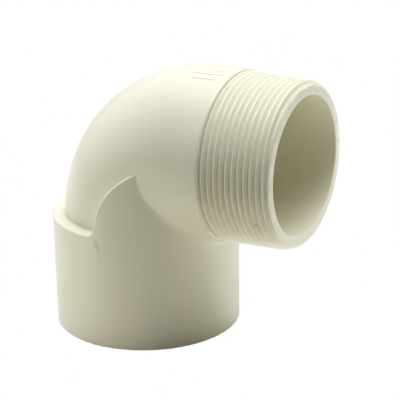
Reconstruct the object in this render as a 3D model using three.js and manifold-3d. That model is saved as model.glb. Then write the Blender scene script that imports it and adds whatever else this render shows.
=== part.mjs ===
// 90 degree street elbow in white PVC: a 2 inch solvent-weld socket facing
// down and a 2 inch taper-threaded male spigot facing sideways.
//
// The real fitting is one injection moulding. It is laid out here in the zones
// that the mould tool forms, divided along the creases that the moulding has:
//   socket_body      the pipe socket, its shoulder, its pipe stop and the two
//                    cheeks that carry the socket's outside up beside the bend
//   bend_tube        the swept 90 degree tube and the plain neck after it
//   threaded_spigot  the taper-threaded end with its chamfered nose
//   mould_bar_1..3, mould_dot   plain raised marks on the neck and bend
//
// Frame: millimetres, +Z up, the socket opens along -Z and stands on z = 0, the
// spigot points along +X, the origin is under the middle of the outer box.

import * as THREE from 'three';
import { mergeVertices } from 'three/addons/utils/BufferGeometryUtils.js';
import Module from 'manifold-3d';

// ---------------------------------------------------------------- dimensions
const GAP = 0.3;                 // clearance between neighbouring zones

// Socket, for pipe of 60.3 mm outside diameter
const SOCKET_OUTER_R = 34.05;
const SOCKET_HEIGHT = 41.3;      // mouth face to shoulder face
const SOCKET_MOUTH_R = 60.63 / 2; // slip taper, entrance
const SOCKET_STOP_R = 60.17 / 2;  // slip taper, at the stop
const SOCKET_DEPTH = 38.1;
const SOCKET_ENTRY = 1.0;        // entry chamfer
const SOCKET_EDGE = 0.9;         // outer edge rounding
const SEAT = 0.8;                // how far the bend is let into the shoulder

// Bend
const AXIS_HEIGHT = 67.04;       // spigot axis above the socket mouth
const BEND_R = 27.04;            // centreline radius
const BEND_OUTER_START = 29.5;   // outside radius at the socket
const BEND_OUTER_END = 30.4;     // outside radius at the neck
const BEND_BORE_START = 25.0;    // waterway radius at the pipe stop
const BEND_BORE_END = 24.33;     // waterway radius in the spigot
const CHEEK_ARC_R = 27.7;        // rim of the cheeks, about the bend centre

// Spigot, 2 - 11 1/2 NPT: pitch 2.2087, taper 1 in 16 on diameter
const FACE_FROM_AXIS = 64.49;    // end face from the socket axis
const NECK_END = 40.1;           // neck ends and thread run-out starts
const PITCH = 2.2087;
const TAPER = 1 / 32;            // on radius
const CREST_R_AT_FACE = (56.363 + 0.8 * PITCH) / 2;
const RIDGE_HEIGHT = 1.56;       // above the core, crest and root flattened
const CREST_FLAT = 0.26;
const ROOT_FLAT = 0.15;
const FIRST_CREST = 40.49;       // crest position on the -Y side, next to neck
const NOSE_R = 28.45;            // outside radius at the end face
const NOSE_START = 62.75;        // thread is cut off conically from here

// Raised marks
const MARK_HEIGHT = 0.45;

// Left to right offset that centres the outer box over the origin
const SHIFT_X = -(FACE_FROM_AXIS - SOCKET_OUTER_R) / 2;

// ------------------------------------------------------------------- helpers
const wasm = await Module();
wasm.setup();

function solid(geometry) {
  let g = geometry.clone();
  g.deleteAttribute('normal');
  g.deleteAttribute('uv');
  g = mergeVertices(g, 1e-4);
  const position = g.attributes.position;
  const index = g.index.array;
  const tris = [];
  let volume = 0;
  const a = new THREE.Vector3(), b = new THREE.Vector3(), c = new THREE.Vector3();
  for (let i = 0; i < index.length; i += 3) {
    const [p, q, r] = [index[i], index[i + 1], index[i + 2]];
    if (p === q || q === r || r === p) continue;
    a.fromBufferAttribute(position, p);
    b.fromBufferAttribute(position, q);
    c.fromBufferAttribute(position, r);
    volume += a.dot(b.clone().cross(c));
    tris.push(p, q, r);
  }
  if (volume < 0) {
    for (let i = 0; i < tris.length; i += 3) [tris[i + 1], tris[i + 2]] = [tris[i + 2], tris[i + 1]];
  }
  return new wasm.Manifold(new wasm.Mesh({
    numProp: 3,
    vertProperties: new Float32Array(position.array),
    triVerts: new Uint32Array(tris),
  }));
}

function geometryOf(manifold) {
  const mesh = manifold.getMesh();
  const g = new THREE.BufferGeometry();
  const n = mesh.vertProperties.length / mesh.numProp;
  const position = new Float32Array(n * 3);
  for (let i = 0; i < n; i++) {
    for (let k = 0; k < 3; k++) position[3 * i + k] = mesh.vertProperties[i * mesh.numProp + k];
  }
  g.setAttribute('position', new THREE.BufferAttribute(position, 3));
  g.setIndex(new THREE.BufferAttribute(new Uint32Array(mesh.triVerts), 1));
  g.computeVertexNormals();
  return g;
}

// A body of revolution about Z from [radius, z] pairs.
function latheZ(profile, segments) {
  return new THREE.LatheGeometry(profile.map(([r, z]) => new THREE.Vector2(r, z)), segments).rotateX(Math.PI / 2);
}

// The same about the spigot axis, from [radius, x] pairs.
function latheX(profile, segments) {
  return new THREE.LatheGeometry(profile.map(([r, x]) => new THREE.Vector2(r, x)), segments)
    .rotateZ(-Math.PI / 2).translate(0, 0, AXIS_HEIGHT);
}

// A cylinder bent through the 90 degrees of the elbow, with its radius running
// from r0 at the socket end to r1 at the neck. Where the section reaches past
// the bend centre, it is held just short of it.
function bend(r0, r1, radial, along) {
  const g = new THREE.CylinderGeometry(1, 1, 1, radial, along);
  const p = g.attributes.position;
  for (let i = 0; i < p.count; i++) {
    const t = p.getY(i) + 0.5;
    const r = r0 + (r1 - r0) * t;
    const reach = Math.max(BEND_R + r * p.getX(i), 0.4);
    const across = r * p.getZ(i);
    const angle = Math.PI - t * Math.PI / 2;
    p.setXYZ(i, BEND_R + reach * Math.cos(angle), across, AXIS_HEIGHT - BEND_R + reach * Math.sin(angle));
  }
  return g;
}

// Bend and neck together, offset outwards by extra.
function tube(extra, neckEnd) {
  const body = solid(bend(BEND_OUTER_START + extra, BEND_OUTER_END + extra, 52, 14));
  const neck = solid(latheX([
    [0, BEND_R - 0.02], [BEND_OUTER_END + extra, BEND_R - 0.02],
    [BEND_OUTER_END + extra, neckEnd - 0.35 + extra], [BEND_OUTER_END - 0.35 + extra, neckEnd + extra], [0, neckEnd + extra],
  ], 52));
  return body.add(neck);
}

// ------------------------------------------------------------- the waterway
const boreEntry = solid(latheZ([
  [0, SOCKET_DEPTH - 2], [BEND_BORE_START, SOCKET_DEPTH - 2],
  [BEND_BORE_START, AXIS_HEIGHT - BEND_R + 0.02], [0, AXIS_HEIGHT - BEND_R + 0.02],
], 48));
const boreBend = solid(bend(BEND_BORE_START, BEND_BORE_END, 48, 12));
const boreSpigot = solid(latheX([
  [0, BEND_R - 0.02], [BEND_BORE_END, BEND_R - 0.02],
  [BEND_BORE_END, FACE_FROM_AXIS - 0.5], [BEND_BORE_END + 1.0, FACE_FROM_AXIS + 0.5], [0, FACE_FROM_AXIS + 0.5],
], 48));
const waterway = boreEntry.add(boreBend).add(boreSpigot);

// ---------------------------------------------------------------- the socket
const e = SOCKET_EDGE;
const barrel = solid(latheZ([
  [0, 0], [SOCKET_OUTER_R - e, 0], [SOCKET_OUTER_R - 0.3 * e, 0.3 * e], [SOCKET_OUTER_R, e],
  [SOCKET_OUTER_R, SOCKET_HEIGHT - 0.7], [SOCKET_OUTER_R - 0.2, SOCKET_HEIGHT - 0.2],
  [SOCKET_OUTER_R - 0.7, SOCKET_HEIGHT], [0, SOCKET_HEIGHT],
], 72));
const pipeSpace = solid(latheZ([
  [0, -1], [SOCKET_MOUTH_R + SOCKET_ENTRY + 1, -1], [SOCKET_MOUTH_R, SOCKET_ENTRY],
  [SOCKET_STOP_R, SOCKET_DEPTH], [0, SOCKET_DEPTH],
], 60));
const outside = solid(latheZ([
  [0, 30], [SOCKET_OUTER_R, 30], [SOCKET_OUTER_R, 72], [0, 72],
], 72));
const cheekDisc = solid(new THREE.CylinderGeometry(CHEEK_ARC_R, CHEEK_ARC_R, 90, 72)
  .translate(BEND_R, 0, AXIS_HEIGHT - BEND_R));
// The bend is let into the shoulder by a shallow seat.
const aboveShoulder = solid(new THREE.BoxGeometry(160, 160, 80).translate(0, 0, SOCKET_HEIGHT - SEAT + 40));
const tubeClear = tube(GAP, 60).intersect(aboveShoulder);
const socketBody = barrel.add(outside.intersect(cheekDisc))
  .subtract(tubeClear).subtract(waterway).subtract(pipeSpace);

// ------------------------------------------------------------------ the bend
const underShoulder = solid(latheZ([
  [0, -2], [SOCKET_OUTER_R + GAP, -2], [SOCKET_OUTER_R + GAP, SOCKET_HEIGHT - SEAT + GAP], [0, SOCKET_HEIGHT - SEAT + GAP],
], 72));
const bendTube = tube(0, NECK_END).subtract(underShoulder).subtract(waterway);

// ---------------------------------------------------------------- the spigot
const crestR = (x) => CREST_R_AT_FACE + (FACE_FROM_AXIS - x) * TAPER;
const coreR = (x) => crestR(x) - RIDGE_HEIGHT;
const spigotBack = NECK_END + GAP;
const TURN = 32;                 // facets to a turn, shared by core and ridge
// The core's facets lie half a step round from the ridge's.
const core = solid(latheX([
  [0, spigotBack], [coreR(spigotBack), spigotBack], [coreR(NOSE_START), NOSE_START],
  [coreR(NOSE_START) - 0.5, NOSE_START + 0.8], [0, NOSE_START + 0.8],
], TURN).translate(0, 0, -AXIS_HEIGHT).rotateX(Math.PI / TURN).translate(0, 0, AXIS_HEIGHT));
const nose = solid(latheX([
  [0, NOSE_START + 0.35], [coreR(NOSE_START) - 0.4, NOSE_START + 0.35], [NOSE_R, NOSE_START + 0.9],
  [NOSE_R, FACE_FROM_AXIS - 0.5], [NOSE_R - 0.5, FACE_FROM_AXIS], [0, FACE_FROM_AXIS],
], TURN));

// One ridge wound right-handed about the spigot axis: a long box whose length
// follows the helix and whose section is the flattened 60 degree thread form.
const firstTurn = -1, lastTurn = 11;
const steps = (lastTurn - firstTurn) * TURN;
const ridgeBox = new THREE.BoxGeometry(1, 1, 1, 1, 2, steps);
{
  const p = ridgeBox.attributes.position;
  for (let i = 0; i < p.count; i++) {
    const turns = firstTurn + (p.getZ(i) + 0.5) * (lastTurn - firstTurn);
    const centre = FIRST_CREST + PITCH * turns;
    // crest, foot just under the core's surface, and a narrower part sunk in it
    const row = p.getY(i) > 0.1 ? 0 : p.getY(i) > -0.1 ? 1 : 2;
    const halfWidth = [CREST_FLAT / 2, (PITCH - ROOT_FLAT) / 2, PITCH * 0.36][row];
    const x = centre + 2 * halfWidth * p.getX(i);
    const r = [crestR(centre), coreR(centre) - 0.2, coreR(centre) - 0.7][row];
    // angle 0 is the -Y side; it grows from +Y over +Z, seen along +X
    const angle = -Math.PI + 2 * Math.PI * turns;
    p.setXYZ(i, x, r * Math.cos(angle), AXIS_HEIGHT + r * Math.sin(angle));
  }
}
const envelope = solid(latheX([
  [0, spigotBack], [crestR(spigotBack) - 1.2, spigotBack], [crestR(spigotBack) + 0.3, spigotBack + 1.5],
  [crestR(NOSE_START) + 0.3, NOSE_START - 1.3], [NOSE_R - 0.6, NOSE_START + 0.6], [0, NOSE_START + 0.6],
], TURN));
const threadedSpigot = core.add(solid(ridgeBox).intersect(envelope)).add(nose).subtract(waterway);

// ---------------------------------------------------------- the raised marks
const markShell = tube(GAP + MARK_HEIGHT, 60).subtract(tube(GAP, 61));
function bar(x0, x1, width, fromTop) {
  const half = width / 2;
  const s = new THREE.Shape();
  s.moveTo(x0 + half, -half);
  s.lineTo(x1 - half, -half);
  s.absarc(x1 - half, 0, half, -Math.PI / 2, Math.PI / 2, false);
  s.lineTo(x0 + half, half);
  s.absarc(x0 + half, 0, half, Math.PI / 2, 3 * Math.PI / 2, false);
  const g = new THREE.ExtrudeGeometry(s, { depth: 14, bevelEnabled: false, curveSegments: 5 });
  // stands on the neck, turned from the top towards -Y
  g.translate(0, 0, 22).rotateX(fromTop).translate(0, 0, AXIS_HEIGHT);
  return markShell.intersect(solid(g));
}
const deg = Math.PI / 180;
const bar1 = bar(25.5, 36.5, 1.7, 5.0 * deg);
const bar2 = bar(23.0, 37.0, 1.7, 11.5 * deg);
const bar3 = bar(24.5, 35.5, 1.7, 18.0 * deg);
const dot = markShell.intersect(solid(new THREE.CylinderGeometry(1.5, 1.5, 16, 20)
  .rotateX(Math.PI / 2).translate(0, 0, 30)
  .applyMatrix4(new THREE.Matrix4().makeRotationX(17 * deg))
  .applyMatrix4(new THREE.Matrix4().makeRotationY(-17 * deg))
  .translate(BEND_R - 8.0, 0, AXIS_HEIGHT - 8.0 + 6.5)));

// --------------------------------------------------------------- the assembly
const pvc = (name, colour, roughness) => new THREE.MeshStandardMaterial({
  name, color: new THREE.Color(colour), roughness, metalness: 0,
});

const group = new THREE.Group();
group.name = 'threaded_street_elbow';
function place(name, manifold, material) {
  const mesh = new THREE.Mesh(geometryOf(manifold.simplify(0.015)), material);
  mesh.name = name;
  mesh.position.set(SHIFT_X, 0, 0);
  group.add(mesh);
}
place('socket_body', socketBody, pvc('pvc_socket', '#ece8d8', 0.38));
place('bend_tube', bendTube, pvc('pvc_bend', '#ece8d8', 0.36));
place('threaded_spigot', threadedSpigot, pvc('pvc_thread', '#e9e5d2', 0.42));
place('mould_bar_1', bar1, pvc('pvc_mark_1', '#eeeada', 0.4));
place('mould_bar_2', bar2, pvc('pvc_mark_2', '#eeeada', 0.4));
place('mould_bar_3', bar3, pvc('pvc_mark_3', '#eeeada', 0.4));
place('mould_dot', dot, pvc('pvc_mark_4', '#eeeada', 0.4));

export default group;
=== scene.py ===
# Looks for the PVC street elbow: a two inch pipe socket facing down and a two
# inch taper-threaded spigot facing sideways, moulded in cream-white PVC.
#
# The CAD zones are replaced one for one by fine closed meshes of the same
# zones, cut from one smooth moulding, so that they meet without a step.
import bmesh
import bpy
import math
import numpy as np
from mathutils import Matrix, Vector


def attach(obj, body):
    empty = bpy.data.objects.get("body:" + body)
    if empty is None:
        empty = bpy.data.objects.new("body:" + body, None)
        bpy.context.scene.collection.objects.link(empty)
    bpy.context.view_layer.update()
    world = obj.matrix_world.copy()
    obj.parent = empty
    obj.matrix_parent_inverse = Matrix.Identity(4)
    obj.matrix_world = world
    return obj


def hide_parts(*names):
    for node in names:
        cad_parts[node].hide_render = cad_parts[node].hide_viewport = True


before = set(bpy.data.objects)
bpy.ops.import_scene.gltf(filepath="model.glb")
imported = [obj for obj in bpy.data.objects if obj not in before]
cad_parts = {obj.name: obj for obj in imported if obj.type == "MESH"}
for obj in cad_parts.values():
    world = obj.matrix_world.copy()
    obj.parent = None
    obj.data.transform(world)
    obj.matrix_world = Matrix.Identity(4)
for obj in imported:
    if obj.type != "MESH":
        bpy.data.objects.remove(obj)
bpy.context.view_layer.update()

MM = 0.001

# ------------------------------------------------------------- dimensions (mm)
# Measured from the socket's axis; the row's origin lies SHIFT further along X.
SOCKET_R, SOCKET_H = 34.05, 41.3
MOUTH_R, STOP_R, DEPTH = 60.63 / 2, 60.17 / 2, 38.1
AXIS_Z, BEND_R = 67.04, 27.04
CEN_Z = AXIS_Z - BEND_R
OUT0, OUT1 = 29.5, 30.4
BORE0, BORE1 = 25.0, 24.33
CHEEK_R = 28.05
NECK_END, FACE_X = 39.3, 64.49
SHIFT = (FACE_X - SOCKET_R) / 2
PITCH = 2.2087
CREST_FACE_R = (56.363 + 0.8 * PITCH) / 2
TAPER = 1 / 32
FIRST_CREST = 40.49


# LIGHT_TABLES
LIGHT = [
    (142.5, 5, 26, (0.276, 0.277, 0.276)),
    (165, 5, 26, (0.269, 0.270, 0.270)),
    (210, 5, 26, (0.247, 0.249, 0.250)),
    (232.5, 5, 26, (0.243, 0.245, 0.252)),
    (255, 5, 26, (0.873, 0.891, 0.979)),
    (277.5, 5, 26, (0.737, 0.762, 0.810)),
    (300, 5, 26, (1.537, 1.536, 1.376)),
    (322.5, 5, 26, (0.250, 0.241, 0.214)),
    (150, 29, 22, (1.342, 1.332, 1.315)),
    (210, 29, 22, (0.719, 0.751, 0.775)),
    (240, 29, 22, (0.518, 0.535, 0.590)),
    (270, 29, 22, (0.962, 0.986, 1.173)),
    (300, 29, 22, (0.558, 0.552, 0.539)),
    (120, 54, 22, (1.243, 1.258, 1.352)),
    (165, 54, 22, (0.988, 1.011, 1.058)),
    (120, 75, 22, (1.771, 1.813, 1.976)),
    (210, 75, 22, (2.388, 2.567, 3.082)),
    (0, 90, 110, (17.604, 17.650, 19.527)),
    (30, 76, 110, (0.697, 0.690, 0.664)),
    (90, 76, 110, (4.541, 4.495, 4.829)),
    (150, 76, 110, (4.492, 4.697, 5.199)),
    (210, 76, 110, (5.137, 5.275, 5.724)),
    (270, 76, 110, (4.535, 4.577, 4.923)),
    (330, 76, 110, (1.412, 1.396, 1.331)),
    (120, 62, 110, (2.939, 2.991, 3.309)),
    (150, 62, 110, (2.760, 2.809, 3.004)),
    (180, 62, 110, (0.985, 0.991, 0.998)),
    (210, 62, 110, (0.255, 0.256, 0.257)),
    (240, 62, 110, (0.037, 0.037, 0.037)),
]
GLOW = [
    (75, 0.000, 0.055, (0.069, 0.067, 0.062)),
    (210, 0.000, 0.055, (0.059, 0.059, 0.059)),
    (255, 0.000, 0.055, (1.313, 1.401, 1.563)),
    (300, 0.000, 0.055, (0.457, 0.464, 0.470)),
    (345, 0.000, 0.055, (0.170, 0.158, 0.126)),
    (30, 0.055, 0.100, (0.141, 0.131, 0.101)),
    (75, 0.055, 0.100, (0.214, 0.207, 0.185)),
    (120, 0.055, 0.100, (0.872, 0.900, 0.936)),
    (165, 0.055, 0.100, (0.538, 0.533, 0.544)),
    (255, 0.055, 0.100, (0.490, 0.489, 0.493)),
    (300, 0.055, 0.100, (0.425, 0.435, 0.429)),
    (345, 0.055, 0.100, (0.201, 0.189, 0.153)),
    (75, 0.100, 0.200, (0.932, 0.863, 0.629)),
    (120, 0.100, 0.200, (0.897, 0.939, 1.021)),
    (255, 0.100, 0.200, (0.460, 0.460, 0.473)),
    (300, 0.100, 0.200, (0.744, 0.764, 0.727)),
    (120, 0.200, 0.500, (0.479, 0.484, 0.491)),
    (165, 0.200, 0.500, (1.230, 1.249, 1.283)),
    (210, 0.200, 0.500, (0.114, 0.114, 0.114)),
    (255, 0.200, 0.500, (0.982, 0.994, 1.025)),
    (300, 0.200, 0.500, (0.209, 0.209, 0.207)),
]
POOL = [
    (-0.035, -0.055, 0.016, (0.359, 0.355, 0.328)),
    (0, -0.055, 0.016, (0.158, 0.147, 0.108)),
    (0.035, -0.055, 0.016, (0.068, 0.065, 0.059)),
    (0.07, -0.055, 0.016, (0.570, 0.527, 0.410)),
    (-0.045, -0.09, 0.02, (0.687, 0.664, 0.550)),
    (0, -0.09, 0.02, (0.297, 0.275, 0.203)),
    (-0.11, -0.13, 0.026, (1.466, 1.455, 1.329)),
    (-0.13, -0.18, 0.032, (4.693, 4.369, 3.215)),
    (0.035, -0.02, 0.014, (0.271, 0.251, 0.176)),
    (0.06, -0.02, 0.014, (0.268, 0.260, 0.235)),
    (0.035, 0.02, 0.014, (1.096, 1.118, 1.019)),
    (0.06, 0.02, 0.014, (0.389, 0.392, 0.391)),
    (0.09, 0, 0.014, (0.062, 0.062, 0.062)),
]
# END_LIGHT_TABLES


# ------------------------------------------------------------ distance fields
def rmax(a, b, r):
    """Both, with the edge between them rounded to radius r."""
    u = np.maximum(a + r, 0.0)
    v = np.maximum(b + r, 0.0)
    return np.minimum(np.maximum(a, b), -r) + np.sqrt(u * u + v * v)


def rmin(a, b, r):
    """Either, with the inside corner filled to radius r."""
    return -rmax(-a, -b, r)


def smooth(t):
    t = np.clip(t, 0, 1)
    return t * t * (3 - 2 * t)


def tube(x, y, z, r0, r1):
    dx = x - BEND_R
    dz = z - CEN_Z
    ang = np.clip(np.arctan2(dz, -dx) / (np.pi / 2), 0, 1)
    r = r0 + (r1 - r0) * smooth(ang)
    rho = np.sqrt(dx * dx + dz * dz) - BEND_R
    bend = np.sqrt(rho * rho + y * y) - r
    low = np.sqrt(x * x + y * y) - r0
    neck = np.sqrt(y * y + (z - AXIS_Z) ** 2) - r1
    return np.where(dx > 0, neck, np.where(dz < 0, low, bend))


def outside(x, y, z):
    cyl = np.sqrt(x * x + y * y) - SOCKET_R
    disc = np.sqrt((x - BEND_R) ** 2 + (z - CEN_Z) ** 2) - CHEEK_R
    region = rmin(z - SOCKET_H, disc, 2.6)
    d = rmax(cyl, region, 0.7)
    d = rmax(d, -z, 0.15)
    t = tube(x, y, z, OUT0, OUT1)
    t = np.maximum(t, (SOCKET_H - 6.0) - z)
    t = rmax(t, x - NECK_END, 0.75)
    # a core runs on into the spigot's zone, so that the bore has no edge here
    core = np.maximum(np.sqrt(y * y + (z - AXIS_Z) ** 2) - 27.9, np.maximum(x - 46.0, BEND_R - x))
    # the inside corner between cheek and neck is crisp at the top of the cheek
    # and opens out further down, and along the ledge
    away = np.sqrt((x - 15.3) ** 2 + (z - 64.9) ** 2)
    fillet = 0.14 + smooth((away - 4.0) / 26.0) * (0.60 + 1.7 * smooth((x - 10.0) / 8.0))
    return np.minimum(rmin(d, t, fillet), core)


def pipe_space(x, y, z):
    rc = np.sqrt(x * x + y * y)
    r = MOUTH_R + (STOP_R - MOUTH_R) * np.clip(z / DEPTH, 0, 1)
    return rmax(rc - r, z - DEPTH, 0.3)


def water(x, y, z):
    return np.maximum(tube(x, y, z, BORE0, BORE1), (DEPTH - 3.0) - z)


def moulding(x, y, z):
    o = rmax(outside(x, y, z), -pipe_space(x, y, z), 0.9)
    return rmax(o, -water(x, y, z), 0.5)


def bend_zone(x, y, z):
    """The space that the bend's zone takes: its own tube, just past its
    surface, above a seat in the shoulder."""
    t = tube(x, y, z, OUT0 + 0.05, OUT1 + 0.05)
    under = np.maximum(np.sqrt(x * x + y * y) - (SOCKET_R + 0.05), z - (SOCKET_H - 0.8))
    t = np.maximum(t, (SOCKET_H - 7.0) - z)
    return np.maximum(np.maximum(t, -under), x - (NECK_END + 8.0))


# -------------------------------------------------------------- mesh from field
def gradient(f, p, e=0.02):
    g = np.empty_like(p)
    for k in range(3):
        d = np.zeros(3)
        d[k] = e
        a, b = p + d, p - d
        g[:, k] = (f(a[:, 0], a[:, 1], a[:, 2]) - f(b[:, 0], b[:, 1], b[:, 2])) / (2 * e)
    return g


def field_mesh(f, lo, hi, h, steps=4):
    """A closed quad mesh of the surface f = 0, with its points drawn onto it."""
    ax = [np.arange(lo[k] - 0.137, hi[k] + h, h) for k in range(3)]
    nx, ny, nz = (len(a) for a in ax)
    v = np.empty((nx, ny, nz), np.float32)
    for i in range(0, nx, 24):
        X, Y, Z = np.meshgrid(ax[0][i:i + 24], ax[1], ax[2], indexing="ij")
        v[i:i + 24] = f(X, Y, Z)
    ins = v < 0
    c = ins.astype(np.uint8)
    cnt = (c[:-1, :-1, :-1] + c[1:, :-1, :-1] + c[:-1, 1:, :-1] + c[:-1, :-1, 1:]
           + c[1:, 1:, :-1] + c[1:, :-1, 1:] + c[:-1, 1:, 1:] + c[1:, 1:, 1:])
    cells = np.argwhere((cnt > 0) & (cnt < 8))
    index = np.full((nx - 1, ny - 1, nz - 1), -1, np.int64)
    index[tuple(cells.T)] = np.arange(len(cells))
    corners = np.array([[a, b, d] for a in (0, 1) for b in (0, 1) for d in (0, 1)])
    val = np.stack([v[tuple((cells + k).T)] for k in corners], 1).astype(float)
    total = np.zeros((len(cells), 3))
    number = np.zeros(len(cells))
    for a in range(8):
        for b in range(a + 1, 8):
            if np.abs(corners[a] - corners[b]).sum() != 1:
                continue
            cross = (val[:, a] < 0) != (val[:, b] < 0)
            t = np.where(cross, val[:, a] / np.where(cross, val[:, a] - val[:, b], 1), 0)
            total += np.where(cross[:, None], corners[a] + t[:, None] * (corners[b] - corners[a]), 0)
            number += cross
    origin = np.array([a[0] for a in ax])
    p = origin + (cells + total / number[:, None]) * h
    quads = []
    for k in range(3):
        i, j = [(1, 2), (2, 0), (0, 1)][k]
        first = [slice(None)] * 3
        second = [slice(None)] * 3
        first[k] = slice(0, -1)
        second[k] = slice(1, None)
        change = ins[tuple(first)] != ins[tuple(second)]
        e = np.argwhere(change)
        e = e[(e[:, i] > 0) & (e[:, j] > 0)]
        di = np.zeros(3, int)
        dj = np.zeros(3, int)
        di[i] = 1
        dj[j] = 1
        q = np.stack([index[tuple((e - di - dj).T)], index[tuple((e - dj).T)],
                      index[tuple(e.T)], index[tuple((e - di).T)]], 1)
        flip = ~ins[tuple(e.T)]
        q[flip] = q[flip][:, ::-1]
        quads.append(q)
    quads = np.concatenate(quads)
    for _ in range(steps):
        g = gradient(f, p)
        d = f(p[:, 0], p[:, 1], p[:, 2])
        move = -g * (d / np.maximum((g * g).sum(1), 0.05))[:, None]
        size = np.linalg.norm(move, axis=1)
        p += move * np.minimum(1, 0.4 * h / np.maximum(size, 1e-9))[:, None]
    return p, quads


def new_object(name, points, faces):
    me = bpy.data.meshes.new(name)
    me.from_pydata(points.tolist(), [], faces.tolist())
    me.validate()
    ob = bpy.data.objects.new(name, me)
    bpy.context.scene.collection.objects.link(ob)
    return ob


def apply_modifiers(ob):
    bpy.context.view_layer.update()
    dg = bpy.context.evaluated_depsgraph_get()
    me = bpy.data.meshes.new_from_object(ob.evaluated_get(dg))
    ob.modifiers.clear()
    old = ob.data
    ob.data = me
    bpy.data.meshes.remove(old)


def boolean(ob, tool, operation, keep=False):
    m = ob.modifiers.new("cut", "BOOLEAN")
    m.object = tool
    m.operation = operation
    m.solver = "MANIFOLD"
    apply_modifiers(ob)
    if not keep:
        bpy.data.objects.remove(tool)


def box_of(name, lo, hi):
    p = np.array([[x, y, z] for x in (lo[0], hi[0]) for y in (lo[1], hi[1]) for z in (lo[2], hi[2])], float)
    q = np.array([[0, 1, 3, 2], [4, 6, 7, 5], [0, 4, 5, 1], [2, 3, 7, 6], [0, 2, 6, 4], [1, 5, 7, 3]])
    return new_object(name, p, q)


def copy_of(ob, name):
    c = ob.copy()
    c.data = ob.data.copy()
    c.name = name
    c.data.name = name
    bpy.context.scene.collection.objects.link(c)
    return c


def finish_mesh(ob, f, tolerance=0.06):
    """Normals from the field on every face that lies on its surface, then
    millimetres to metres and the row's own origin."""
    me = ob.data
    n = len(me.vertices)
    p = np.empty(n * 3)
    me.vertices.foreach_get("co", p)
    p = p.reshape(-1, 3)
    g = gradient(f, p)
    g /= np.maximum(np.linalg.norm(g, axis=1, keepdims=True), 1e-9)
    near = np.abs(f(p[:, 0], p[:, 1], p[:, 2])) < tolerance
    nf = len(me.polygons)
    fn = np.empty(nf * 3)
    me.polygons.foreach_get("normal", fn)
    fn = fn.reshape(-1, 3)
    start = np.empty(nf, np.int64)
    me.polygons.foreach_get("loop_start", start)
    count = np.empty(nf, np.int64)
    me.polygons.foreach_get("loop_total", count)
    lv = np.empty(len(me.loops), np.int64)
    me.loops.foreach_get("vertex_index", lv)
    face_of = np.repeat(np.arange(nf), count)
    agree = (g[lv] * fn[face_of]).sum(1)
    ok = np.ones(nf, bool)
    np.logical_and.at(ok, face_of, near[lv] & (agree > 0.5))
    ln = np.where(ok[face_of][:, None], g[lv], fn[face_of])
    me.polygons.foreach_set("use_smooth", np.ones(nf, bool))
    p = (p - np.array([SHIFT, 0, 0])) * MM
    me.vertices.foreach_set("co", p.ravel())
    me.update()
    me.normals_split_custom_set(ln.tolist())
    return ob


# --------------------------------------------------------- socket and bend zone
H = 0.52
pts, quads = field_mesh(moulding, (-36, -36, -1.5), (48, 36, 99), H)
whole = new_object("whole", pts, quads)
pts, quads = field_mesh(bend_zone, (-33, -33, 32), (51, 33, 99), 0.8)
zone = new_object("zone", pts, quads)
bend = copy_of(whole, "elbow_bend")
boolean(bend, zone, "INTERSECT", keep=True)
boolean(bend, box_of("before_thread", (-60, -60, -60), (NECK_END + 0.02, 60, 140)), "INTERSECT")
socket = whole
socket.name = "elbow_socket"
boolean(socket, zone, "DIFFERENCE")
finish_mesh(bend, moulding)
finish_mesh(socket, moulding)


# -------------------------------------------------------------- threaded spigot
def soft_min(a, b, k):
    m = np.maximum(k - np.abs(a - b), 0)
    return np.minimum(a, b) - m * m / (4 * k)


def soft_max(a, b, k):
    return -soft_min(-a, -b, k)


def spigot_radius(h, x):
    """Outside radius at the helical coordinate h and the place x on the axis."""
    u = (h - FIRST_CREST) / PITCH
    d = np.abs(u - np.round(u)) * PITCH
    crest = CREST_FACE_R + (FACE_X - x) * TAPER
    flank = crest + 0.09 - np.maximum(d - 0.03, 0) * math.tan(math.radians(60))
    r = soft_min(flank, crest, 0.10)
    # the thread runs out, less and less deep, towards the neck
    r = soft_max(r, crest - 1.62 + 0.75 * smooth((41.6 - x) / 2.0), 0.22)
    # the thread stops at a shoulder, and a plain nose stands in front of it
    cone = 28.60 + np.maximum(0, 62.80 - x) * 1.72
    r = soft_min(r, cone, 0.20)
    r = r - 0.66 * np.exp(-((x - 62.98) / 0.27) ** 2)
    r = soft_min(r, 28.58 - (x - 63.55) * 1.10, 0.12)
    edge = 0.18
    t = np.clip((x - (FACE_X - edge)) / edge, 0, 1)
    return r - edge * (1 - np.sqrt(np.maximum(0, 1 - t * t)))


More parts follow.
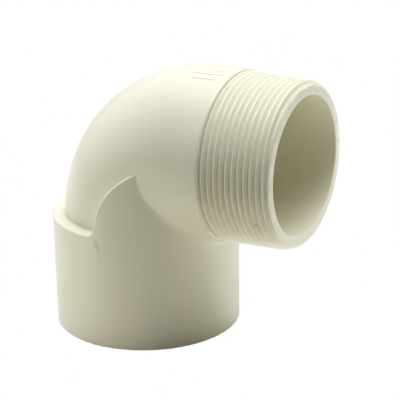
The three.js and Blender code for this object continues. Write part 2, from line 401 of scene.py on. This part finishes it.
def helical_rod(n_round, n_pitch):
    """A closed rod with the thread on it. Its rows of points follow the helix:
    the last column of a row joins the first column of the row one pitch on."""
    h0 = FIRST_CREST - 2 * PITCH
    top = int(math.ceil((FACE_X + 0.4 - h0) / PITCH * n_pitch))
    i = np.arange(top + n_pitch + 1)
    j = np.arange(n_round)
    turn = j / n_round
    h = h0 + i[:, None] * PITCH / n_pitch + 0 * turn[None, :]
    x = h + PITCH * turn[None, :]
    # angle 0 of a turn is the -Y side, and it grows right-handed about +X
    angle = -np.pi + 2 * np.pi * turn[None, :]
    r = spigot_radius(h, np.minimum(x, FACE_X))
    p = np.stack([x, r * np.cos(angle), AXIS_Z + r * np.sin(angle)], -1).reshape(-1, 3)
    v = np.arange(len(i) * n_round).reshape(len(i), n_round)
    main = np.stack([v[:top, :-1], v[:top, 1:], v[1:top + 1, 1:], v[1:top + 1, :-1]], -1).reshape(-1, 4)
    k = np.arange(top)
    wrap = np.stack([v[k, -1], v[k + n_pitch, 0], v[k + n_pitch + 1, 0], v[k + 1, -1]], -1)
    low = list(v[0]) + [v[m, 0] for m in range(n_pitch, 0, -1)]
    high = list(v[top]) + [v[top + m, 0] for m in range(n_pitch, 0, -1)]
    c = len(p)
    p = np.concatenate([p, [[h0 + PITCH / 2, 0, AXIS_Z], [h0 + top * PITCH / n_pitch + PITCH / 2, 0, AXIS_Z]]])
    fans = [[c, b, a] for a, b in zip(low, low[1:] + low[:1])]
    fans += [[c + 1, a, b] for a, b in zip(high, high[1:] + high[:1])]
    faces = np.concatenate([main, wrap]).tolist() + fans
    used = np.zeros(len(p), bool)
    used[np.concatenate([main.ravel(), wrap.ravel(), np.array(fans).ravel()])] = True
    new = np.cumsum(used) - 1
    return p[used], [[int(new[q]) for q in f] for f in faces]


def ring_about_x(profile, n):
    """A closed ring from a closed profile of [radius, x], about the spigot's axis."""
    m = len(profile)
    pr = np.array(profile)
    a = 2 * np.pi * np.arange(n) / n
    p = np.stack([pr[None, :, 1] + 0 * a[:, None], pr[None, :, 0] * np.cos(a)[:, None],
                  AXIS_Z + pr[None, :, 0] * np.sin(a)[:, None]], -1).reshape(-1, 3)
    v = np.arange(n * m).reshape(n, m)
    q = np.stack([v, np.roll(v, -1, 0), np.roll(np.roll(v, -1, 0), -1, 1), np.roll(v, -1, 1)], -1).reshape(-1, 4)
    return p, q


from_x = NECK_END + 0.02
lip = 0.32
arc = [[BORE1 + lip - lip * math.cos(t), FACE_X - lip + lip * math.sin(t)]
       for t in np.linspace(0, math.pi / 2, 9)]
profile = [[BORE1, from_x]] + [[BORE1, from_x + (FACE_X - lip - from_x) * k / 12] for k in range(1, 12)] + arc
profile += [[33.0, FACE_X], [33.0, from_x]]
rp, rq = ring_about_x(profile, 256)
rp_faces = np.asarray(rq)
pts, faces = helical_rod(384, 20)
me = bpy.data.meshes.new("elbow_thread")
me.from_pydata(pts.tolist(), [], faces)
me.validate()
thread = bpy.data.objects.new("elbow_thread", me)
bpy.context.scene.collection.objects.link(thread)
ring = new_object("ring", rp, rp_faces)
bm_check = []
for ob in (thread, ring):
    b = bmesh.new()
    b.from_mesh(ob.data)
    if b.calc_volume(signed=True) < 0:
        bmesh.ops.reverse_faces(b, faces=b.faces)
        b.to_mesh(ob.data)
    b.free()
boolean(thread, ring, "INTERSECT")


def to_row(ob, angle):
    me = ob.data
    p = np.empty(len(me.vertices) * 3)
    me.vertices.foreach_get("co", p)
    p = (p.reshape(-1, 3) - np.array([SHIFT, 0, 0])) * MM
    me.vertices.foreach_set("co", p.ravel())
    me.polygons.foreach_set("use_smooth", np.ones(len(me.polygons), bool))
    me.update()
    me.set_sharp_from_angle(angle=math.radians(angle))
    return ob


to_row(thread, 48)


# ---------------------------------------------------------------- raised marks
def mark_field(x0, x1, half, from_top):
    """A low bar on the tube with a softly rounded top: from x0 to x1, turned
    from_top degrees from the tube's top towards -Y."""
    a0 = math.radians(from_top)

    def f(x, y, z):
        t = tube(x, y, z, OUT0, OUT1)
        across = (np.arctan2(-y, z - AXIS_Z) - a0) * OUT1
        along = np.maximum(np.maximum(x0 + half - x, x - (x1 - half)), 0)
        plan = np.sqrt(across * across + along * along) - half
        side = (plan + 1.3 * np.maximum(t, 0)) / 1.64
        return rmax(rmax(side, t - MARK, 0.14), -0.08 - t, 0.05)
    return f


def dot_field(cx, cy, cz, half):
    def f(x, y, z):
        t = tube(x, y, z, OUT0, OUT1)
        plan = np.sqrt((x - cx) ** 2 + (y - cy) ** 2 + (z - cz) ** 2) - half
        side = (plan + 1.3 * np.maximum(t, 0)) / 1.64
        return rmax(rmax(side, t - MARK * 0.8, 0.13), -0.08 - t, 0.05)
    return f


MARK = 0.22
marks = []
for name, f, lo, hi in [
    ("mark_bar_1", mark_field(26.5, 36.3, 0.70, 5.0), (25, -6, 95), (37, 1, 99)),
    ("mark_bar_2", mark_field(24.0, 36.6, 0.70, 11.5), (22.5, -9, 94), (37.5, -3, 99)),
    ("mark_bar_3", mark_field(25.5, 35.3, 0.70, 18.0), (24, -12.5, 93), (36, -6, 98)),
    ("mark_dot", dot_field(10.6, -8.9, 93.3, 1.5), (7.53, -12.03, 90.03), (13.5, -6, 97)),
]:
    pts, quads = field_mesh(f, lo, hi, 0.08 if name == "mark_dot" else 0.11)
    marks.append(finish_mesh(new_object(name, pts, quads), f, 0.05))


# ------------------------------------------------------------------- materials
def material(name):
    m = bpy.data.materials.new(name)
    m.use_nodes = True
    nt = m.node_tree
    nt.nodes.clear()
    return m, nt


def node(nt, kind, **values):
    n = nt.nodes.new(kind)
    for k, v in values.items():
        setattr(n, k, v)
    return n


def math_node(nt, op, a, b=None, c=None, clamp=False):
    n = nt.nodes.new("ShaderNodeMath")
    n.operation = op
    n.use_clamp = clamp
    for k, q in enumerate((a, b, c)):
        if q is None:
            continue
        if isinstance(q, (int, float)):
            n.inputs[k].default_value = q
        else:
            nt.links.new(q, n.inputs[k])
    return n.outputs[0]


def ramp(nt, fac, stops):
    n = nt.nodes.new("ShaderNodeValToRGB")
    e = n.color_ramp.elements
    while len(e) < len(stops):
        e.new(0.5)
    for q, (pos, col) in zip(e, stops):
        q.position = pos
        q.color = (*col, 1) if len(col) == 3 else col
    nt.links.new(fac, n.inputs[0])
    return n.outputs[0]


def noise(nt, vec, scale, detail=3, rough=0.5, distortion=0.0):
    n = nt.nodes.new("ShaderNodeTexNoise")
    n.inputs["Scale"].default_value = scale
    n.inputs["Detail"].default_value = detail
    n.inputs["Roughness"].default_value = rough
    n.inputs["Distortion"].default_value = distortion
    nt.links.new(vec, n.inputs["Vector"])
    return n.outputs[0]


def tinted(nt, fac, colour, onto=None):
    """A colour times a number, added onto another colour."""
    n = nt.nodes.new("ShaderNodeVectorMath")
    n.operation = "SCALE"
    n.inputs[0].default_value = colour
    nt.links.new(fac, n.inputs["Scale"])
    if onto is None:
        return n.outputs[0]
    p = nt.nodes.new("ShaderNodeVectorMath")
    p.operation = "ADD"
    nt.links.new(onto, p.inputs[0])
    nt.links.new(n.outputs[0], p.inputs[1])
    return p.outputs[0]


def mix_colour(nt, fac, a, b, mode="MIX"):
    n = nt.nodes.new("ShaderNodeMix")
    n.data_type = "RGBA"
    n.blend_type = mode
    if isinstance(fac, (int, float)):
        n.inputs[0].default_value = fac
    else:
        nt.links.new(fac, n.inputs[0])
    for k, q in ((6, a), (7, b)):
        if isinstance(q, tuple):
            n.inputs[k].default_value = (*q, 1)
        else:
            nt.links.new(q, n.inputs[k])
    return n.outputs[2]


CREAM = (0.794, 0.768, 0.581)
CREAM_WARM = (0.789, 0.760, 0.566)
CREAM_PALE = (0.805, 0.785, 0.619)


def blot(nt, obj, centre, along, length, width):
    """A soft stain: 1 at its centre, 0 at its edge. It lies in the plane y =
    const and is longest in the direction `along`."""
    d = Vector(along).normalized()
    side = d.cross(Vector((0, 1, 0)))
    off = nt.nodes.new("ShaderNodeVectorMath")
    off.operation = "SUBTRACT"
    nt.links.new(obj, off.inputs[0])
    off.inputs[1].default_value = centre
    total = None
    for axis, size in ((d, length), (side, width), (Vector((0, 1, 0)), 0.004)):
        n = nt.nodes.new("ShaderNodeVectorMath")
        n.operation = "DOT_PRODUCT"
        nt.links.new(off.outputs[0], n.inputs[0])
        n.inputs[1].default_value = axis / size
        q = math_node(nt, "MULTIPLY", n.outputs["Value"], n.outputs["Value"])
        total = q if total is None else math_node(nt, "ADD", total, q)
    return math_node(nt, "EXPONENT", math_node(nt, "MULTIPLY", total, -1.6))


def pvc(name, rough=0.34, thread_zone=False, stains=()):
    """Moulded uPVC: slow drift of colour along the flow, a few specks, a fine
    mould grain, and a faint parting line in the plane of the bend."""
    m, nt = material(name)
    out = node(nt, "ShaderNodeOutputMaterial")
    bsdf = node(nt, "ShaderNodeBsdfPrincipled")
    nt.links.new(bsdf.outputs[0], out.inputs[0])
    tc = node(nt, "ShaderNodeTexCoord")
    obj = tc.outputs["Object"]
    sep = node(nt, "ShaderNodeSeparateXYZ")
    nt.links.new(obj, sep.inputs[0])
    X, Y, Z = sep.outputs

    slow = noise(nt, obj, 28, 3, 0.55)
    cloud = noise(nt, obj, 95, 4, 0.6)
    c = mix_colour(nt, ramp(nt, slow, [(0.36, (0, 0, 0)), (0.66, (1, 1, 1))]), CREAM_WARM, CREAM)
    c = mix_colour(nt, math_node(nt, "MULTIPLY", ramp(nt, cloud, [(0.42, (0, 0, 0)), (0.72, (1, 1, 1))]), 0.22), c, CREAM_PALE)

    # sparse dark specks in the resin
    vor = node(nt, "ShaderNodeTexVoronoi")
    vor.inputs["Scale"].default_value = 165
    vor.inputs["Randomness"].default_value = 1.0
    nt.links.new(obj, vor.inputs["Vector"])
    spot = math_node(nt, "LESS_THAN", vor.outputs["Distance"], 0.028)
    rare = node(nt, "ShaderNodeSeparateColor")
    nt.links.new(vor.outputs["Color"], rare.inputs[0])
    few = math_node(nt, "GREATER_THAN", rare.outputs[0], 0.90)
    c = mix_colour(nt, math_node(nt, "MULTIPLY", math_node(nt, "MULTIPLY", spot, few), 0.55), c, (0.22, 0.15, 0.075))

    # scuffs: long thin smears that are a little rougher and paler
    stretch = node(nt, "ShaderNodeMapping")
    stretch.inputs["Scale"].default_value = (1.0, 1.0, 0.22)
    stretch.inputs["Rotation"].default_value = (0.5, 0.35, 0.2)
    nt.links.new(obj, stretch.inputs[0])
    scuff_n = noise(nt, stretch.outputs[0], 420, 2, 0.6)
    scuff_m = noise(nt, obj, 60, 2, 0.5, 0.0)
    scuff = math_node(nt, "MULTIPLY",
                      ramp(nt, scuff_n, [(0.52, (0, 0, 0)), (0.86, (1, 1, 1))]),
                      ramp(nt, scuff_m, [(0.48, (0, 0, 0)), (0.78, (1, 1, 1))]))
    c = mix_colour(nt, math_node(nt, "MULTIPLY", scuff, 0.09), c, (0.86, 0.84, 0.74))

    rn = noise(nt, obj, 140, 3, 0.6, 0.0)
    rr = math_node(nt, "MULTIPLY_ADD", rn, 0.06, rough - 0.03)
    rr = math_node(nt, "MULTIPLY_ADD", scuff, 0.07, rr)

    if thread_zone:
        # depth below the crest cone, in millimetres
        dy = math_node(nt, "MULTIPLY", Y, 1000)
        dz = math_node(nt, "MULTIPLY_ADD", Z, 1000, -AXIS_Z)
        rad = math_node(nt, "SQRT", math_node(nt, "ADD", math_node(nt, "MULTIPLY", dy, dy), math_node(nt, "MULTIPLY", dz, dz)))
        xx = math_node(nt, "MULTIPLY_ADD", X, -1000 * TAPER, CREST_FACE_R + (FACE_X - SHIFT) * TAPER)
        depth = math_node(nt, "SUBTRACT", xx, rad)
        # painted light: the deeper parts of the thread, down in the roots, are painted paler than the resin so that the
        # grooves show less of their shade; a noise makes this painted light patchy
        low = ramp(nt, math_node(nt, "MULTIPLY", depth, 0.5, clamp=True), [(0.30, (0, 0, 0)), (0.80, (1, 1, 1))])
        outer_only = math_node(nt, "LESS_THAN", depth, 2.4)
        low = math_node(nt, "MULTIPLY", low, outer_only)
        root_light_patchiness = noise(nt, obj, 130, 3, 0.6, 0.0)
        low = math_node(nt, "MULTIPLY", low, ramp(nt, root_light_patchiness, [(0.30, (0.35, 0.35, 0.35)), (0.70, (1, 1, 1))]))
        c = mix_colour(nt, math_node(nt, "MULTIPLY", low, 0.28), c, (0.90, 0.875, 0.71))
        # partly wear, partly painted highlight: the crests are painted near white, as rubbed resin and as the bright
        # line of light that they catch; the rubbed part is also rougher
        crest = math_node(nt, "LESS_THAN", depth, 0.20)
        crest_wear_and_highlight = math_node(nt, "MULTIPLY", crest, ramp(nt, cloud, [(0.40, (0.55, 0.55, 0.55)), (0.62, (1, 1, 1))]))
        c = mix_colour(nt, math_node(nt, "MULTIPLY", crest_wear_and_highlight, 0.85), c, (0.93, 0.92, 0.84))
        rr = math_node(nt, "MULTIPLY_ADD", crest_wear_and_highlight, 0.12, rr)
        rr = math_node(nt, "MULTIPLY_ADD", low, 0.08, rr)

    # handling marks: where, direction, half length, half width, strength, colour
    for centre, along, length, width, strength, colour in stains:
        k = blot(nt, obj, centre, along, length, width)
        k = math_node(nt, "MULTIPLY", k, ramp(nt, noise(nt, obj, 900, 2, 0.5, 0.0), [(0.30, (0.6, 0.6, 0.6)), (0.60, (1, 1, 1))]))
        c = mix_colour(nt, math_node(nt, "MULTIPLY", k, strength, clamp=True), c, colour)
        rr = math_node(nt, "MULTIPLY_ADD", k, 0.10, rr)

    nt.links.new(c, bsdf.inputs["Base Color"])
    nt.links.new(rr, bsdf.inputs["Roughness"])
    bsdf.inputs["IOR"].default_value = 1.53

    # relief in metres: moulded-in waviness, fine grain, parting line
    wave = math_node(nt, "MULTIPLY", noise(nt, obj, 70, 1, 0.4, 0.0), 0.000018)
    peel = math_node(nt, "MULTIPLY", noise(nt, obj, 520, 2, 0.5, 0.0), 0.0000022)
    grain = math_node(nt, "MULTIPLY", noise(nt, obj, 2600, 2, 0.6, 0.0), 0.0000008)
    line = math_node(nt, "ABSOLUTE", Y)
    line = math_node(nt, "MULTIPLY", math_node(nt, "SUBTRACT", 1.0, math_node(nt, "DIVIDE", line, 0.00022), clamp=True), 0.000028)
    relief = math_node(nt, "ADD", math_node(nt, "ADD", wave, peel), math_node(nt, "ADD", grain, line))
    relief = math_node(nt, "ADD", relief, math_node(nt, "MULTIPLY", scuff, -0.0000015))
    bump = node(nt, "ShaderNodeBump")
    bump.inputs["Strength"].default_value = 1.0
    bump.inputs["Distance"].default_value = 1.0
    nt.links.new(relief, bump.inputs["Height"])
    nt.links.new(bump.outputs[0], bsdf.inputs["Normal"])
    return m


OLIVE = (0.40, 0.38, 0.19)
mat_body = pvc("pvc_body", 0.335, stains=(
    ((-0.01425, -0.03404, 0.03855), (0.42, 0, -1), 0.0021, 0.00105, 0.50, OLIVE),
    ((-0.01360, -0.03402, 0.03560), (0.12, 0, -1), 0.0030, 0.00110, 0.16, OLIVE),
    ((-0.01490, -0.03405, 0.04010), (1, 0, -0.4), 0.0007, 0.00045, 0.30, (0.48, 0.42, 0.27)),
))
mat_thread = pvc("pvc_thread", 0.345, thread_zone=True, stains=(
    ((0.04343, -0.02500, 0.05320), (0, 0, 1), 0.00042, 0.00030, 0.85, (0.20, 0.16, 0.06)),
    ((0.04350, -0.02470, 0.05180), (0.1, 0, -1), 0.0022, 0.0010, 0.22, OLIVE),
))
mat_mark = pvc("pvc_mark", 0.335)

NODES = {"elbow_socket": "socket_body", "elbow_bend": "bend_tube", "elbow_thread": "threaded_spigot",
         "mark_bar_1": "mould_bar_1", "mark_bar_2": "mould_bar_2", "mark_bar_3": "mould_bar_3",
         "mark_dot": "mould_dot"}
for ob in [socket, bend, thread] + marks:
    ob.data.materials.clear()
    ob.data.materials.append(mat_thread if ob is thread else mat_mark if ob in marks else mat_body)
    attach(ob, "root")
    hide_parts(NODES[ob.name])


# ------------------------------------------------------------ floor and lights
def plane(name, size, z):
    me = bpy.data.meshes.new(name)
    me.from_pydata([(-size, -size, z), (size, -size, z), (size, size, z), (-size, size, z)], [], [(0, 1, 2, 3)])
    ob = bpy.data.objects.new(name, me)
    bpy.context.scene.collection.objects.link(ob)
    return ob


def seen_only_by_camera(ob):
    ob.visible_diffuse = False
    ob.visible_glossy = False
    ob.visible_transmission = False
    ob.visible_shadow = False


def white(name, level):
    m, nt = material(name)
    out = node(nt, "ShaderNodeOutputMaterial")
    em = node(nt, "ShaderNodeEmission")
    em.inputs["Color"].default_value = (1, 1, 1, 1)
    em.inputs["Strength"].default_value = level
    nt.links.new(em.outputs[0], out.inputs[0])
    return m


# The white sweep that is seen behind and under the object.
seen = plane("floor_seen", 4.0, -0.0006)
seen.data.materials.append(white("floor_white", 1.0))
seen_only_by_camera(seen)

rim = [(3.9 * math.cos(math.radians(5 * k)), 3.9 * math.sin(math.radians(5 * k))) for k in range(72)]
steps = [(1.0, -0.0006), (1.0, 2.0), (0.8, 3.2), (0.45, 3.9)]
pts = [(x * q, y * q, z) for q, z in steps for x, y in rim]
faces = [(72 * r + k, 72 * r + (k + 1) % 72, 72 * (r + 1) + (k + 1) % 72, 72 * (r + 1) + k)
         for r in range(len(steps) - 1) for k in range(72)]
faces.append(tuple(72 * (len(steps) - 1) + k for k in range(72)))
me = bpy.data.meshes.new("backdrop")
me.from_pydata(pts, [], faces)
sweep = bpy.data.objects.new("backdrop", me)
bpy.context.scene.collection.objects.link(sweep)
me.materials.append(white("backdrop_white", 1.0))
seen_only_by_camera(sweep)

# The same floor as it lights the object: a matt table that glows a little
# where the light falls on it: by sector (azimuth, inner, outer radius, colour)
# and in small pools (x, y, size, colour).
bounce = plane("floor_bounce", 1.2, -0.0001)
m, nt = material("floor_bounce")
out = node(nt, "ShaderNodeOutputMaterial")
df = node(nt, "ShaderNodeBsdfDiffuse")
df.inputs["Color"].default_value = (0.30, 0.30, 0.30, 1)
em = node(nt, "ShaderNodeEmission")
add = node(nt, "ShaderNodeAddShader")
nt.links.new(df.outputs[0], add.inputs[0])
nt.links.new(em.outputs[0], add.inputs[1])
nt.links.new(add.outputs[0], out.inputs[0])
tc = node(nt, "ShaderNodeTexCoord")
sp = node(nt, "ShaderNodeSeparateXYZ")
nt.links.new(tc.outputs["Object"], sp.inputs[0])
fx, fy = sp.outputs[0], sp.outputs[1]
fr = math_node(nt, "SQRT", math_node(nt, "ADD", math_node(nt, "MULTIPLY", fx, fx), math_node(nt, "MULTIPLY", fy, fy)))
glow = None
for az, r0, r1, colour in GLOW:
    a = math.radians(az)
    c = math_node(nt, "ADD", math_node(nt, "MULTIPLY", fx, math.sin(a)), math_node(nt, "MULTIPLY", fy, -math.cos(a)))
    c = math_node(nt, "MAXIMUM", math_node(nt, "DIVIDE", c, math_node(nt, "MAXIMUM", fr, 0.001)), 0.0)
    c = math_node(nt, "POWER", c, 6.0)
    for edge, way in ((r0, 1.0), (r1, -1.0)):
        if edge > 0:
            s = math_node(nt, "MULTIPLY_ADD", fr, way / 0.014, 0.5 - way * edge / 0.014, clamp=True)
            c = math_node(nt, "MULTIPLY", c, s)
    glow = tinted(nt, c, colour, glow)
for px, py, size, colour in POOL:
    dx = math_node(nt, "SUBTRACT", fx, px)
    dy = math_node(nt, "SUBTRACT", fy, py)
    c = math_node(nt, "ADD", math_node(nt, "MULTIPLY", dx, dx), math_node(nt, "MULTIPLY", dy, dy))
    c = math_node(nt, "EXPONENT", math_node(nt, "MULTIPLY", c, -0.5 / size ** 2))
    glow = tinted(nt, c, colour, glow)
nt.links.new(glow, em.inputs["Color"])
em.inputs["Strength"].default_value = 1.0
bounce.data.materials.append(m)
bounce.visible_camera = False
bounce.visible_shadow = False

# The studio: soft patches of light (azimuth, elevation, sharpness, colour).
# Azimuth 0 is -Y and 90 is +X. The light comes from behind and above, and the
# room in front is dark.
world = bpy.data.worlds.new("studio")
bpy.context.scene.world = world
world.use_nodes = True
nt = world.node_tree
nt.nodes.clear()
out = node(nt, "ShaderNodeOutputWorld")
bg = node(nt, "ShaderNodeBackground")
nt.links.new(bg.outputs[0], out.inputs[0])
tc = node(nt, "ShaderNodeTexCoord")
vm = node(nt, "ShaderNodeVectorMath", operation="NORMALIZE")
nt.links.new(tc.outputs["Generated"], vm.inputs[0])
total = None
for az, el, k, colour in LIGHT:
    a, e = math.radians(az), math.radians(el)
    dot = node(nt, "ShaderNodeVectorMath", operation="DOT_PRODUCT")
    nt.links.new(vm.outputs[0], dot.inputs[0])
    dot.inputs[1].default_value = (math.sin(a) * math.cos(e), -math.cos(a) * math.cos(e), math.sin(e))
    lobe = math_node(nt, "EXPONENT", math_node(nt, "MULTIPLY", math_node(nt, "SUBTRACT", dot.outputs["Value"], 1.0), k))
    total = tinted(nt, lobe, colour, total)
nt.links.new(total, bg.inputs["Color"])
bg.inputs["Strength"].default_value = 1.0

view = bpy.context.scene.view_settings
view.view_transform = "Standard"
view.look = "None"
view.exposure = 0.0
view.gamma = 1.0

# --------------------------------------------------------------------- camera
CAM_AZ, CAM_EL, CAM_ROLL, CAM_D = 30.206, 19.191, -0.809, 492.786
CAM_F, CAM_TX, CAM_TZ = 1341.398, 19.742, 4.352
a, e, ro = math.radians(CAM_AZ), math.radians(CAM_EL), math.radians(CAM_ROLL)
back = Vector((math.sin(a) * math.cos(e), -math.cos(a) * math.cos(e), math.sin(e)))
right = Vector((math.cos(a), math.sin(a), 0))
upv = back.cross(right)
r2 = right * math.cos(ro) + upv * math.sin(ro)
u2 = -right * math.sin(ro) + upv * math.cos(ro)
where = Vector((0, 0, 40)) + back * CAM_D + r2 * CAM_TX + u2 * CAM_TZ - Vector((SHIFT, 0, 0))
cam = bpy.data.cameras.new("camera")
cam_ob = bpy.data.objects.new("camera", cam)
bpy.context.scene.collection.objects.link(cam_ob)
cam.sensor_width = 36.0
cam.lens = CAM_F / 400 * 36.0
cam.clip_start, cam.clip_end = 0.01, 50
cam_ob.matrix_world = Matrix((
    (r2.x, u2.x, back.x, where.x * MM),
    (r2.y, u2.y, back.y, where.y * MM),
    (r2.z, u2.z, back.z, where.z * MM),
    (0, 0, 0, 1)))
bpy.context.scene.camera = cam_ob
